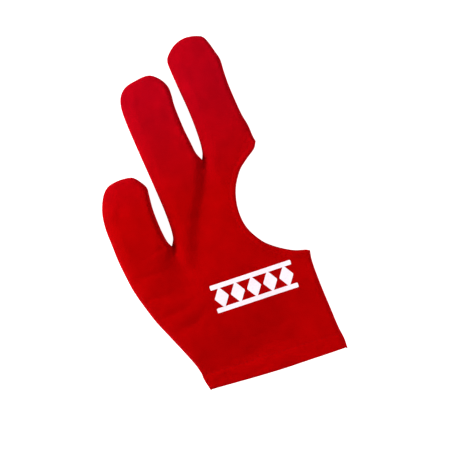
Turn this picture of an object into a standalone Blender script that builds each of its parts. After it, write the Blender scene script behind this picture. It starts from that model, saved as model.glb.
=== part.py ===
"""Three-finger yo-yo glove, empty and lying on its palm.

Cut-and-sewn knit: a back and a palm joined by side seams, a turned hem at the
wrist, and a narrow hem round the large opening that the ring and little
fingers pass through. Units are metres, +Z is up and +Y runs to the fingertips.
The origin is under the middle of the glove, on the surface it lies on.
"""
import math

import bmesh
import bpy
import numpy as np
from mathutils import Vector
from mathutils.geometry import delaunay_2d_cdt, interpolate_bezier

# Cloth
WALL = 0.0010               # one layer of knit
HEM_WALL = 0.0020           # a turned hem is two layers
WRIST_HEM_DEPTH = 0.0100
OPENING_HEM_DEPTH = 0.0035
PIECE_GAP = 0.0003          # left between neighbouring pieces

# How the empty glove lies: heights over the surface, and the rounded edges
LOFT = 0.0100               # top of the cloth
MOUTH_LOFT = 0.0090         # top of the cloth at the wrist and at the opening
MOUTH_REACH = 0.0220        # distance in from a mouth where the full loft is reached
SEAM_HEIGHT = 0.0045
SELVEDGE = 0.0010           # upright cloth above the seam, and again below it
BACK_ROUND = 0.0085         # how far in from the seam the back stays rounded
PALM_ROUND = 0.0052

# Palm, measured from the middle of the wrist edge
WRIST_WIDTH = 0.0850
WRIST_BOW = 0.0011          # the wrist edge bows out by this much
PALM_LENGTH = 0.1325        # wrist edge to the root of the index finger
THUMB_BULGE = 0.0297        # how far the thumb side runs out past the wrist
HEEL_HEIGHT = 0.0617        # wrist edge to the lower corner of the opening
HEEL_REACH = 0.0387         # that corner's distance from the middle line
OPENING_DEPTH = 0.0280      # opening, in from the line between its corners

# Fingers: middle of the root, lean from +Y towards +X, length and width
THUMB_X = -0.0565
THUMB_Y = 0.0900
THUMB_LEAN = math.radians(-1.0)
THUMB_LENGTH = 0.0455
THUMB_WIDTH = 0.0315
INDEX_X = -0.0240
INDEX_LEAN = math.radians(-5.0)
INDEX_LENGTH = 0.0575
INDEX_WIDTH = 0.0310
MIDDLE_X = 0.0110
MIDDLE_STEP = 0.0015        # middle root over the index root
MIDDLE_LEAN = math.radians(-3.0)
MIDDLE_LENGTH = 0.0705
MIDDLE_WIDTH = 0.0295

# Printed ornament on the back, over the wrist
PRINT_X = 0.0005
PRINT_Y = 0.0513
PRINT_TILT = math.radians(0.8)
PRINT_WIDTH = 0.0500
PRINT_HEIGHT = 0.0168
PRINT_RULE = 0.0028         # height of the two long bars
PRINT_LAYER = 0.0004
LOZENGE_COUNT = 5
LOZENGE_WIDTH = 0.0088
LOZENGE_ROOT = 0.0009       # how far a lozenge's point runs into a bar

# Facets
SEAM_STEP = 0.0050
MOUTH_STEP = 0.0040
CORNER_STEP = 0.0010        # along a mouth where it meets a seam
FINE_STEP = 0.00025         # along a mouth before its points are thinned
FIELD_STEP = 0.0056
PRINT_STEP = 0.0042
RING_ANGLES = (math.radians(42.0), math.radians(66.0), math.radians(90.0))
FAN_ANGLE = math.radians(35.0)  # between ring points round an inner corner
RING_TRIM = 0.97            # a ring point this much nearer the seam than its ring is dropped
RING_SPACING = 0.00275      # two points of one ring keep this far apart
RING_TO_FOLD = 0.00225      # and from a fold's points
FIELD_TO_FOLD = 0.0034
FIELD_TO_LINE = 0.0022
FIELD_TO_RING = 0.0020
FOLD_TO_SEAM = 0.0034       # a fold's points keep this far from a seam
LINE_CLEARANCE = 0.0011     # ring and fold points keep this far from a cut line
HEM_CORNER = 1.5            # hem depths from a mouth's end where its inner line is bent
HEM_OVERRUN = 5.0           # hem depths that this line runs on past its bent stretch
BEZIER_REACH = 1.0 / 3.0    # a curve's handles, as a share of the way between its points
ON_SEAM = 0.00001
SHARP_ANGLE = math.radians(50.0)
WALL_STEP = "wall_step"     # vertex layer: outer to inner skin, for a wall of 1

# Thumb side of the palm, from the wrist up. Shares: height of THUMB_Y, run-out of THUMB_BULGE
THUMB_SIDE = (
    (0.080, 0.064),
    (0.124, 0.076),
    (0.206, 0.158),
    (0.404, 0.441),
    (0.522, 0.613),
    (0.644, 0.754),
    (0.770, 0.875),
    (0.867, 0.933),
)

# Little-finger side, from the wrist up. Shares: height of HEEL_HEIGHT, width of half WRIST_WIDTH
HEEL_SIDE = (
    (0.090, 0.998),
    (0.217, 0.967),
    (0.408, 0.941),
    (0.598, 0.915),
    (0.788, 0.897),
    (0.916, 0.894),
)

# Opening, from its upper corner down. Shares: height between the corners, depth of OPENING_DEPTH
OPENING_EDGE = (
    (0.950, 0.089),
    (0.884, 0.336),
    (0.809, 0.579),
    (0.665, 0.843),
    (0.495, 0.989),
    (0.339, 0.993),
    (0.199, 0.838),
    (0.126, 0.661),
    (0.067, 0.443),
    (0.032, 0.261),
    (0.014, 0.070),
)

# Finger outlines, up the left side, over the tip and down the right side.
# Shares: along the finger's length from its root, across its width from its middle line
THUMB_OUTLINE = (
    (0.000, -0.491),
    (0.200, -0.506),
    (0.430, -0.523),
    (0.620, -0.500),
    (0.780, -0.427),
    (0.894, -0.333),
    (0.962, -0.215),
    (0.990, -0.040),
    (0.990, 0.150),
    (0.965, 0.281),
    (0.870, 0.402),
    (0.780, 0.470),
    (0.683, 0.464),
    (0.487, 0.448),
    (0.290, 0.460),
    (0.159, 0.479),
    (0.030, 0.514),
)
INDEX_OUTLINE = (
    (-0.660, -0.515),
    (-0.453, -0.475),
    (-0.193, -0.474),
    (0.067, -0.488),
    (0.327, -0.500),
    (0.638, -0.505),
    (0.793, -0.479),
    (0.890, -0.406),
    (0.957, -0.260),
    (0.984, 0.000),
    (0.986, 0.190),
    (0.963, 0.299),
    (0.888, 0.429),
    (0.793, 0.504),
    (0.700, 0.504),
    (0.586, 0.477),
    (0.327, 0.474),
    (0.172, 0.494),
    (0.050, 0.512),
)
MIDDLE_OUTLINE = (
    (0.034, -0.537),
    (0.114, -0.506),
    (0.241, -0.492),
    (0.411, -0.499),
    (0.622, -0.533),
    (0.800, -0.560),
    (0.875, -0.545),
    (0.938, -0.418),
    (0.982, -0.245),
    (0.996, -0.050),
    (0.981, 0.151),
    (0.950, 0.292),
    (0.896, 0.354),
    (0.800, 0.417),
    (0.722, 0.460),
    (0.622, 0.447),
    (0.500, 0.440),
    (0.351, 0.455),
    (0.224, 0.478),
    (0.120, 0.521),
    (0.015, 0.535),
)
# Where two fingers part, and where the opening starts, in the same shares
INDEX_CROTCH = (-0.740, -0.598)
MIDDLE_CROTCH = (-0.014, -0.588)
OPENING_CORNER = (-0.028, 0.553)

# Folds pressed into the back. Shares: x and width of WRIST_WIDTH, y of PALM_LENGTH, depth of LOFT
#    from x  from y    to x    to y  width  depth
FOLDS = (
    (-0.082, 0.972, -0.194, 0.845, 0.050, 0.280),
    (-0.194, 0.845, -0.278, 0.684, 0.056, 0.200),
    (-0.278, 0.684, -0.325, 0.572, 0.066, 0.110),
    (-0.446, 0.650, -0.435, 0.589, 0.058, 0.240),
    (-0.533, 0.684, -0.690, 0.660, 0.036, 0.095),
    (-0.506, 0.575, -0.693, 0.595, 0.040, 0.105),
    (-0.525, 0.476, -0.690, 0.482, 0.040, 0.074),
    (-0.502, 0.406, -0.640, 0.392, 0.040, 0.063),
    (-0.342, 0.374, -0.550, 0.322, 0.040, 0.063),
)

# Materials: base colour, roughness
RED_KNIT = ((0.430, 0.002, 0.003, 1.0), 0.80)
RED_HEM = ((0.400, 0.002, 0.003, 1.0), 0.80)
WHITE_PRINT = ((0.900, 0.860, 0.865, 1.0), 0.55)


def clear_scene():
    for obj in list(bpy.data.objects):
        bpy.data.objects.remove(obj, do_unlink=True)


def make_collection(name):
    collection = bpy.data.collections.new(name)
    bpy.context.scene.collection.children.link(collection)
    return collection


def make_material(name, look):
    colour, roughness = look
    material = bpy.data.materials.new(name)
    material.use_nodes = True
    shader = material.node_tree.nodes["Principled BSDF"]
    shader.inputs["Base Color"].default_value = colour
    shader.inputs["Roughness"].default_value = roughness
    shader.inputs["Metallic"].default_value = 0.0
    material.diffuse_color = colour
    return material


def finger_points(root, lean, length, width, rows):
    """Rows of shares, along and across a leaning finger, as plan points."""
    along = Vector((math.sin(lean), math.cos(lean)))
    across = Vector((along.y, -along.x))
    return [root + along * row[0] * length + across * row[1] * width for row in rows]


def smooth_run(points, step):
    """A smooth curve through the points, cut into pieces no longer than step."""
    run = []
    last = len(points) - 1
    for i in range(last):
        start, end = points[i], points[i + 1]
        leave = (end - points[max(i - 1, 0)]).normalized()
        arrive = (points[min(i + 2, last)] - start).normalized()
        reach = (end - start).length * BEZIER_REACH
        count = max(1, math.ceil((end - start).length / step))
        piece = interpolate_bezier(start, start + leave * reach, end - arrive * reach, end, count + 1)
        run.extend(piece[:-1])
    run.append(points[-1])
    return np.array([(point[0], point[1]) for point in run])


def straight_run(start, end, step):
    count = max(1, math.ceil((end - start).length / step))
    return np.array([tuple(start.lerp(end, i / count)) for i in range(count + 1)])


def graded_run(run, seams):
    """A finely cut mouth line, thinned to CORNER_STEP at a seam and MOUTH_STEP away from it."""
    share = np.clip(distance_to(run, seams) / BACK_ROUND, 0.0, 1.0)
    steps = CORNER_STEP + (MOUTH_STEP - CORNER_STEP) * share
    kept = [0]
    for i in range(1, len(run) - 1):
        since = np.linalg.norm(run[i] - run[kept[-1]])
        left = np.linalg.norm(run[-1] - run[i])
        if since >= steps[i] and left >= CORNER_STEP:
            kept.append(i)
    return run[[*kept, len(run) - 1]]


def outline_runs():
    """The outline, clockwise from the thumb-side corner of the wrist, as named runs."""
    thumb_root = Vector((THUMB_X, THUMB_Y))
    index_root = Vector((INDEX_X, PALM_LENGTH))
    middle_root = Vector((MIDDLE_X, PALM_LENGTH + MIDDLE_STEP))
    index = (index_root, INDEX_LEAN, INDEX_LENGTH, INDEX_WIDTH)
    middle = (middle_root, MIDDLE_LEAN, MIDDLE_LENGTH, MIDDLE_WIDTH)

    left_corner = Vector((-WRIST_WIDTH / 2.0, 0.0))
    right_corner = Vector((WRIST_WIDTH / 2.0, 0.0))
    wrist_middle = Vector((0.0, -WRIST_BOW))
    heel_corner = Vector((HEEL_REACH, HEEL_HEIGHT))
    index_crotch = finger_points(*index, [INDEX_CROTCH])[0]
    middle_crotch = finger_points(*middle, [MIDDLE_CROTCH])[0]
    top_corner = finger_points(*middle, [OPENING_CORNER])[0]

    thumb_side = [
        left_corner + Vector((-THUMB_BULGE * out, THUMB_Y * up)) for up, out in THUMB_SIDE
    ]
    thumb = finger_points(thumb_root, THUMB_LEAN, THUMB_LENGTH, THUMB_WIDTH, THUMB_OUTLINE)
    opening = []
    for up, depth in OPENING_EDGE:
        opening.append(heel_corner.lerp(top_corner, up) - Vector((OPENING_DEPTH * depth, 0.0)))
    heel_side = [
        Vector((WRIST_WIDTH / 2.0 * out, HEEL_HEIGHT * up)) for up, out in reversed(HEEL_SIDE)
    ]

    outer_seam = [
        smooth_run([left_corner, *thumb_side, *thumb, index_crotch], SEAM_STEP),
        smooth_run([index_crotch, *finger_points(*index, INDEX_OUTLINE), middle_crotch], SEAM_STEP),
        smooth_run([middle_crotch, *finger_points(*middle, MIDDLE_OUTLINE), top_corner], SEAM_STEP),
    ]
    outer = np.concatenate([outer_seam[0][:-1], outer_seam[1][:-1], outer_seam[2]])
    heel = smooth_run([heel_corner, *heel_side, right_corner], SEAM_STEP)
    opening = smooth_run([top_corner, *opening, heel_corner], FINE_STEP)
    wrist = smooth_run([right_corner, wrist_middle, left_corner], FINE_STEP)
    return {
        "outer_seam": outer,
        "opening": graded_run(opening, [outer, heel]),
        "heel_seam": heel,
        "wrist": graded_run(wrist, [outer, heel]),
    }


def piece_distances(points, run):
    """Distance from each point to each straight piece of a run, and the nearest places."""
    starts = run[:-1]
    sides = run[1:] - starts
    offsets = points[:, None, :] - starts[None, :, :]
    shares = (offsets * sides).sum(axis=2) / (sides * sides).sum(axis=1)
    places = starts + sides * np.clip(shares, 0.0, 1.0)[:, :, None]
    return np.linalg.norm(points[:, None, :] - places, axis=2), places


def nearest_on_run(points, run):
    """Distance from each point to a run, the nearest place on it and that place's piece."""
    gaps, places = piece_distances(points, run)
    best = gaps.argmin(axis=1)
    rows = np.arange(len(points))
    return gaps[rows, best], places[rows, best], best


def distance_to(points, runs):
    return np.min([nearest_on_run(points, run)[0] for run in runs], axis=0)


def inside_loop(points, loop):
    """Even-odd test of each point against a closed loop."""
    ends = np.roll(loop, -1, axis=0)
    x, y = points[:, 0][:, None], points[:, 1][:, None]
    crosses = (loop[:, 1] > y) != (ends[:, 1] > y)
    rise = np.where(ends[:, 1] == loop[:, 1], 1.0, ends[:, 1] - loop[:, 1])
    at = loop[:, 0] + (y - loop[:, 1]) * (ends[:, 0] - loop[:, 0]) / rise
    return (crosses & (x < at)).sum(axis=1) % 2 == 1


def inward_normals(run):
    """Unit normals of a clockwise run's pieces, pointing into the cloth."""
    sides = np.diff(run, axis=0)
    normals = np.column_stack([sides[:, 1], -sides[:, 0]])
    return normals / np.linalg.norm(normals, axis=1)[:, None]


def inward_directions(points, seams):
    """Unit vectors in plan, into the cloth and away from the nearest seam."""
    away = np.full(len(points), np.inf)
    directions = np.zeros((len(points), 2))
    for run in seams:
        gaps, places, _ = nearest_on_run(points, run)
        closer = gaps < away
        away[closer] = gaps[closer]
        directions[closer] = (points - places)[closer]
    on_seam = away < ON_SEAM
    directions[on_seam] = 0.0
    for run in seams:
        touching = piece_distances(points, run)[0] < ON_SEAM
        directions[on_seam] += (touching @ inward_normals(run))[on_seam]
    return directions / np.linalg.norm(directions, axis=1)[:, None]


def inner_line(run, distance):
    """A line inside a mouth's edge, carried on straight at both ends to cross the seams."""
    normals = inward_normals(run)
    bends = (normals[:-1] + normals[1:]) / 2.0
    bends /= np.linalg.norm(bends, axis=1)[:, None]
    inner = run[1:-1] + bends * distance
    ends = np.minimum(
        np.linalg.norm(run[1:-1] - run[0], axis=1), np.linalg.norm(run[1:-1] - run[-1], axis=1)
    )
    inner = inner[ends > OPENING_HEM_DEPTH * HEM_CORNER]
    before = (inner[0] - inner[1]) / np.linalg.norm(inner[0] - inner[1])
    after = (inner[-1] - inner[-2]) / np.linalg.norm(inner[-1] - inner[-2])
    far = OPENING_HEM_DEPTH * HEM_OVERRUN
    lead = straight_run(Vector(inner[0] + before * far), Vector(inner[0]), CORNER_STEP)
    tail = straight_run(Vector(inner[-1]), Vector(inner[-1] + after * far), CORNER_STEP)
    return np.concatenate([lead[:-1], inner, tail[1:]])


def wrist_line(height, seams):
    half = WRIST_WIDTH / 2.0 + THUMB_BULGE
    line = straight_run(Vector((half, height)), Vector((-half, height)), FINE_STEP)
    return graded_run(line, seams)


def cloth_side(points, line):
    """True where a point is on the cloth's side of a line that runs clockwise."""
    _, places, pieces = nearest_on_run(points, line)
    normals = inward_normals(line)[pieces]
    return ((points - places) * normals).sum(axis=1) > 0.0


def ring_points(seams):
    """Points at the rounded edge's ring distances, with a fan round each inner corner."""
    points = []
    for angle in RING_ANGLES:
        distance = BACK_ROUND * (1.0 - math.cos(angle))
        ring = []
        for run in seams:
            normals = inward_normals(run)
            for i in range(1, len(run) - 1):
                before, after = Vector(normals[i - 1]), Vector(normals[i])
                turn = before.angle_signed(after)
                count = max(1, math.ceil(abs(turn) / FAN_ANGLE))
                for k in range(count):
                    direction = before.lerp(after, (k + 0.5) / count).normalized()
                    ring.append(run[i] + np.array(direction) * distance)
        ring = np.array(ring)
        ring = ring[distance_to(ring, seams) > distance * RING_TRIM]
        points.extend(spread_out(ring, RING_SPACING))
    return np.array(points)


def spread_out(points, spacing):
    """The points in order, without those that crowd an earlier one."""
    kept = []
    for point in points:
        if not kept or np.linalg.norm(np.array(kept) - point, axis=1).min() > spacing:
            kept.append(point)
    return kept


def fold_table():
    """The folds in metres: start, end, width, depth."""
    scale = np.array([WRIST_WIDTH, PALM_LENGTH, WRIST_WIDTH, PALM_LENGTH, WRIST_WIDTH, LOFT])
    return [(row[0:2], row[2:4], row[4], row[5]) for row in np.array(FOLDS) * scale]


def fold_points():
    """Points on each fold's bottom and on both of its shoulders."""
    points = []
    for start, end, width, _ in fold_table():
        along = (end - start) / np.linalg.norm(end - start)
        across = np.array([along[1], -along[0]])
        count = max(2, math.ceil(np.linalg.norm(end - start) / SEAM_STEP))
        for shift in (0.0, -width, width):
            for i in range(count + 1):
                points.append(start + (end - start) * i / count + across * shift)
    return np.array(points)


def field_points(loop):
    """A triangular field of points over the whole outline."""
    low, high = loop.min(axis=0), loop.max(axis=0)
    row_step = FIELD_STEP * math.sqrt(3.0) / 2.0
    points = []
    for row in range(int((high[1] - low[1]) / row_step) + 1):
        shift = FIELD_STEP / 2.0 * (row % 2)
        for column in range(int((high[0] - low[0]) / FIELD_STEP) + 1):
            points.append((low[0] + shift + column * FIELD_STEP, low[1] + row * row_step))
    return np.array(points)


def triangulate(points, runs):
    """Triangles over points and runs, as plan points and corner numbers."""
    corners = [Vector(point) for point in points]
    edges = []
    for run in runs:
        first = len(corners)
        corners.extend(Vector(point) for point in run)
        edges.extend((first + i, first + i + 1) for i in range(len(run) - 1))
    plan, _, faces, _, _, _ = delaunay_2d_cdt(corners, edges, [], 0, 0.000001)
    return np.array([tuple(point) for point in plan]), faces


def upright(plan, face):
    """The triangle's corners, anticlockwise from above."""
    a, b, c = (plan[i] for i in face)
    area = (b[0] - a[0]) * (c[1] - a[1]) - (b[1] - a[1]) * (c[0] - a[0])
    return tuple(face) if area > 0.0 else tuple(reversed(face))


class Glove:
    """The outline, and the heights of the cloth over it."""

    def __init__(self):
        self.runs = outline_runs()
        self.loop = np.concatenate([run[:-1] for run in self.runs.values()])
        self.seams = [self.runs["outer_seam"], self.runs["heel_seam"]]
        self.mouths = [self.runs["opening"], self.runs["wrist"]]
        self.middle = (self.loop.min(axis=0) + self.loop.max(axis=0)) / 2.0

    def edge_rise(self, points, reach):
        """0 at a seam, 1 from reach inwards, along a quarter of an ellipse."""
        share = np.clip(distance_to(points, self.seams) / reach, 0.0, 1.0)
        return np.sqrt(1.0 - (1.0 - share) ** 2)

    def back_height(self, points):
        share = np.clip(distance_to(points, self.mouths) / MOUTH_REACH, 0.0, 1.0)
        top = MOUTH_LOFT + (LOFT - MOUTH_LOFT) * share * share * (3.0 - 2.0 * share)
        dents = np.zeros(len(points))
        for start, end, width, depth in fold_table():
            away = distance_to(points, [np.array([start, end])])
            dents = np.maximum(dents, depth * np.exp(-((away / width) ** 2)))
        low = SEAM_HEIGHT + SELVEDGE
        return low + (top - dents - low) * self.edge_rise(points, BACK_ROUND)

    def palm_height(self, points):
        return (SEAM_HEIGHT - SELVEDGE) * (1.0 - self.edge_rise(points, PALM_ROUND))

    def wall_steps(self, points, reach, up):
        """The way from the outer to the inner skin, square to the rounded edge's section."""
        flat = np.clip(distance_to(points, self.seams) / reach, 0.0, 1.0)
        sideways = inward_directions(points, self.seams) * (1.0 - flat)[:, None]
        return np.column_stack([sideways, up * np.sqrt(1.0 - (1.0 - flat) ** 2)])

    def cut_plan(self):
        """Triangles of the whole outline, sorted into the pieces they belong to."""
        wrist_lines = [wrist_line(WRIST_HEM_DEPTH + gap, self.seams) for gap in (0.0, PIECE_GAP)]
        opening = self.runs["opening"]
        opening_lines = [inner_line(opening, OPENING_HEM_DEPTH + gap) for gap in (0.0, PIECE_GAP)]
        lines = wrist_lines + opening_lines
        borders = [*self.seams, *self.mouths, *lines]

        rings = ring_points(self.seams)
        rings = rings[inside_loop(rings, self.loop)]
        rings = rings[distance_to(rings, self.mouths + lines) > LINE_CLEARANCE]
        folds = fold_points()
        folds = folds[inside_loop(folds, self.loop)]
        folds = folds[distance_to(folds, borders) > LINE_CLEARANCE]
        folds = folds[distance_to(folds, self.seams) > FOLD_TO_SEAM]
        field = field_points(self.loop)
        field = field[inside_loop(field, self.loop)]
        field = field[distance_to(field, self.mouths + lines) > FIELD_TO_LINE]
        field = field[distance_to(field, self.seams) > BACK_ROUND + FIELD_TO_RING]
        chosen = [*folds]
        chosen.extend(ring for ring in rings if clear_of(ring, folds, RING_TO_FOLD))
        chosen.extend(point for point in field if clear_of(point, folds, FIELD_TO_FOLD))
        plan, faces = triangulate(chosen, borders)

        centres = np.array([plan[list(face)].mean(axis=0) for face in faces])
        inside = inside_loop(centres, self.loop)
        past_wrist = [cloth_side(centres, line) for line in wrist_lines]
        past_opening = [cloth_side(centres, line) for line in opening_lines]
        pieces = {"panel": [], "wrist_hem": [], "opening_hem": []}
        for i, face in enumerate(faces):
            if not inside[i]:
                continue
            if past_wrist[1][i] and past_opening[1][i]:
                pieces["panel"].append(upright(plan, face))
            elif not past_wrist[0][i]:
                pieces["wrist_hem"].append(upright(plan, face))
            elif not past_opening[0][i]:
                pieces["opening_hem"].append(upright(plan, face))
        return plan, pieces


def clear_of(point, others, spacing):
    return np.linalg.norm(others - point, axis=1).min() > spacing


def add_skin(mesh, plan, faces, heights):
    """A skin over the plan triangles, facing up, and its corners by plan number."""
    used = sorted({i for face in faces for i in face})
    corners = {i: mesh.verts.new((*plan[i], heights[i])) for i in used}
    skin = [mesh.faces.new([corners[i] for i in face]) for face in faces]
    return skin, corners


def add_cloth(mesh, glove, plan, faces, is_back, seam_height):
    """The back's or the palm's outer skin, with an upright selvedge down to the seam."""
    heights = glove.back_height(plan) if is_back else glove.palm_height(plan)
    reach, up = (BACK_ROUND, -1.0) if is_back else (PALM_ROUND, 1.0)
    steps = glove.wall_steps(plan, reach, up)
    on_seam = distance_to(plan, glove.seams) < ON_SEAM
    skin, corners = add_skin(mesh, plan, faces, heights)
    if not is_back:
        bmesh.ops.reverse_faces(mesh, faces=skin)
    layer = mesh.verts.layers.float_vector[WALL_STEP]
    for i, vert in corners.items():
        vert[layer] = steps[i]
    seam_verts = {vert for i, vert in corners.items() if on_seam[i]}
    seam_edges = []
    for edge in mesh.edges:
        if edge.is_boundary and seam_verts.issuperset(edge.verts):
            seam_edges.append(edge)
    selvedge = bmesh.ops.extrude_edge_only(mesh, edges=seam_edges)
    for item in selvedge["geom"]:
        if isinstance(item, bmesh.types.BMVert):
            item.co.z = seam_height


def add_wall(mesh, wall):
    """Thicken an open skin inwards: a turned copy, one wall step in, joined at the edges."""
    layer = mesh.verts.layers.float_vector[WALL_STEP]
    rims = [edge for edge in mesh.edges if edge.is_boundary]
    copied = bmesh.ops.duplicate(mesh, geom=[*mesh.verts, *mesh.edges, *mesh.faces])
    inner = copied["vert_map"]
    for item in copied["geom"]:
        if isinstance(item, bmesh.types.BMVert):
            item.co += item[layer] * wall
    for edge in rims:
        loop = edge.link_loops[0]
        start, end = loop.vert, loop.link_loop_next.vert
        mesh.faces.new([end, start, inner[start], inner[end]])
    lining = [item for item in copied["geom"] if isinstance(item, bmesh.types.BMFace)]
    bmesh.ops.reverse_faces(mesh, faces=lining)


def add_object(name, mesh, middle, material, collection):
    bmesh.ops.translate(mesh, verts=mesh.verts, vec=(-middle[0], -middle[1], 0.0))
    data = bpy.data.meshes.new(name)
    mesh.to_mesh(data)
    mesh.free()
    data.materials.append(material)
    data.shade_smooth()
    data.set_sharp_from_angle(angle=SHARP_ANGLE)
    obj = bpy.data.objects.new(name, data)
    collection.objects.link(obj)
    return obj


def make_panel(name, glove, plan, faces, is_back, material, collection):
    """The back or the palm, one layer thick, ending half a gap from the seam."""
    half_gap = PIECE_GAP / 2.0 if is_back else -PIECE_GAP / 2.0
    mesh = bmesh.new()
    mesh.verts.layers.float_vector.new(WALL_STEP)
    add_cloth(mesh, glove, plan, faces, is_back, SEAM_HEIGHT + half_gap)
    add_wall(mesh, WALL)
    return add_object(name, mesh, glove.middle, material, collection)


def make_hem(name, glove, plan, faces, material, collection):
    """A hem: a closed band of both skins, joined at its seams, two layers thick."""
    mesh = bmesh.new()
    mesh.verts.layers.float_vector.new(WALL_STEP)
    for is_back in (True, False):
        side = bmesh.new()
        side.verts.layers.float_vector.new(WALL_STEP)
        add_cloth(side, glove, plan, faces, is_back, SEAM_HEIGHT)
        data = bpy.data.meshes.new(name + "_side")
        side.to_mesh(data)
        side.free()
        mesh.from_mesh(data)
        bpy.data.meshes.remove(data)
    bmesh.ops.remove_doubles(mesh, verts=mesh.verts, dist=ON_SEAM)
    add_wall(mesh, HEM_WALL)
    return add_object(name, mesh, glove.middle, material, collection)


def print_shapes():
    """The ornament's bars and lozenges as closed loops round its own middle."""
    half_width, half_height = PRINT_WIDTH / 2.0, PRINT_HEIGHT / 2.0
    shapes = []
    for low in (-half_height, half_height - PRINT_RULE):
        high = low + PRINT_RULE
        shapes.append([(-half_width, low), (half_width, low), (half_width, high), (-half_width, high)])
    tip = half_height - PRINT_RULE + LOZENGE_ROOT
    pitch = PRINT_WIDTH / LOZENGE_COUNT
    for i in range(LOZENGE_COUNT):
        x = (i + 0.5) * pitch - half_width
        side = LOZENGE_WIDTH / 2.0
        shapes.append([(x - side, 0.0), (x, -tip), (x + side, 0.0), (x, tip)])
    cos, sin = math.cos(PRINT_TILT), math.sin(PRINT_TILT)
    turned = []
    for shape in shapes:
        turned.append([
            Vector((PRINT_X + x * cos - y * sin, PRINT_Y + x * sin + y * cos)) for x, y in shape
        ])
    return turned


def make_print(name, glove, material, collection):
    """The ornament, laid just over the back and following its folds."""
    shapes = print_shapes()
    loops = []
    for shape in shapes:
        sides = [straight_run(shape[i - 1], shape[i], PRINT_STEP)[:-1] for i in range(len(shape))]
        loops.append(np.concatenate(sides))
    plan, faces = triangulate([], [np.concatenate([loop, loop[:1]]) for loop in loops])
    centres = np.array([plan[list(face)].mean(axis=0) for face in faces])
    covered = np.any([inside_loop(centres, loop) for loop in loops], axis=0)
    kept = [upright(plan, face) for face, is_covered in zip(faces, covered) if is_covered]
    heights = glove.back_height(plan) + PIECE_GAP
    mesh = bmesh.new()
    add_skin(mesh, plan, kept, heights)
    obj = add_object(name, mesh, glove.middle, material, collection)
    layer = obj.modifiers.new("layer", "SOLIDIFY")
    layer.thickness = PRINT_LAYER
    layer.offset = 1.0
    return obj


def main():
    clear_scene()
    collection = make_collection("yoyo_glove")
    knit = make_material("red_knit", RED_KNIT)
    hem = make_material("red_hem", RED_HEM)
    white = make_material("white_print", WHITE_PRINT)
    glove = Glove()
    plan, pieces = glove.cut_plan()
    make_panel("back_panel", glove, plan, pieces["panel"], True, knit, collection)
    make_panel("palm_panel", glove, plan, pieces["panel"], False, knit, collection)
    make_hem("wrist_hem", glove, plan, pieces["wrist_hem"], hem, collection)
    make_hem("opening_hem", glove, plan, pieces["opening_hem"], hem, collection)
    make_print("back_print", glove, white, collection)


main()
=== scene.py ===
"""The looks of a three-finger knit glove, lying empty on its palm.

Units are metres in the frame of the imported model: +Z up, +Y to the fingertips,
with the origin under the middle of the glove. Each piece of cloth is rebuilt
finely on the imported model's outline and between its heights, with rolled side
seams, turned hems, stitches, folds and a printed ornament.
"""
import math

import bmesh
import bpy
import numpy as np
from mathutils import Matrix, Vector, noise
from mathutils.geometry import delaunay_2d_cdt, interpolate_bezier

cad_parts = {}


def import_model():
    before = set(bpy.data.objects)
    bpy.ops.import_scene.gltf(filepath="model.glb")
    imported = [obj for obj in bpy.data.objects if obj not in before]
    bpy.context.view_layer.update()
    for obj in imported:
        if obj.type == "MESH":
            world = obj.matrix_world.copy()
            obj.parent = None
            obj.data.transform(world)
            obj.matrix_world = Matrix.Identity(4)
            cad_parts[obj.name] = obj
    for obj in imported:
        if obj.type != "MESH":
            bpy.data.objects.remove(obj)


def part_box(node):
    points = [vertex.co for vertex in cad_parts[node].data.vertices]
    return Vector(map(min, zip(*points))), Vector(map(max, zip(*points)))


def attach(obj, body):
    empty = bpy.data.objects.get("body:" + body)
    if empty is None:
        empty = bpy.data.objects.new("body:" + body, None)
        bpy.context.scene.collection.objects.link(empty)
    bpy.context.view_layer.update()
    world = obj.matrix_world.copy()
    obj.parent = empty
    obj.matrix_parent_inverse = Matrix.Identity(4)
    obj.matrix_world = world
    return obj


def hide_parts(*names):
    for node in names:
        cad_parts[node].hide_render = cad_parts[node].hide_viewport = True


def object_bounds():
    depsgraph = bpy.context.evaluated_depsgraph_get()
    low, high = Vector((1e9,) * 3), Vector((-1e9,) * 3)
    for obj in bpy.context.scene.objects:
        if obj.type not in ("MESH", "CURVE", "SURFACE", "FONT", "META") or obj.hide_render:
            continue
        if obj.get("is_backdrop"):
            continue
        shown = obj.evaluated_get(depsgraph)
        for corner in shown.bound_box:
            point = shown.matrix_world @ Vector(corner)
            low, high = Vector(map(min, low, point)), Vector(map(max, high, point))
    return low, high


MM = 0.001

# Palm outline, measured from the middle of the wrist edge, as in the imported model
WRIST_WIDTH = 85.0 * MM
WRIST_BOW = 1.1 * MM
PALM_LENGTH = 132.5 * MM
THUMB_BULGE = 29.7 * MM
HEEL_HEIGHT = 61.7 * MM
HEEL_REACH = 38.7 * MM
OPENING_DEPTH = 28.0 * MM
THUMB_Y = 90.0 * MM

# Fingers: middle of the root, lean from +Y towards +X in degrees, length, width
THUMB = ((-56.5 * MM, THUMB_Y), -1.0, 45.5 * MM, 31.5 * MM)
INDEX = ((-24.0 * MM, PALM_LENGTH), -5.0, 57.5 * MM, 31.0 * MM)
MIDDLE = ((11.0 * MM, PALM_LENGTH + 1.5 * MM), -3.0, 70.5 * MM, 29.5 * MM)

# Thumb side of the palm, from the wrist up. Shares: height of THUMB_Y, run-out of THUMB_BULGE
THUMB_SIDE = (
    (0.080, 0.064), (0.124, 0.076), (0.206, 0.158), (0.404, 0.441),
    (0.522, 0.613), (0.644, 0.754), (0.770, 0.875), (0.867, 0.933),
)
# Little-finger side, from the wrist up. Shares: height of HEEL_HEIGHT, width of half WRIST_WIDTH
HEEL_SIDE = (
    (0.090, 0.998), (0.217, 0.967), (0.408, 0.941), (0.598, 0.915), (0.788, 0.897), (0.916, 0.894),
)
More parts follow.
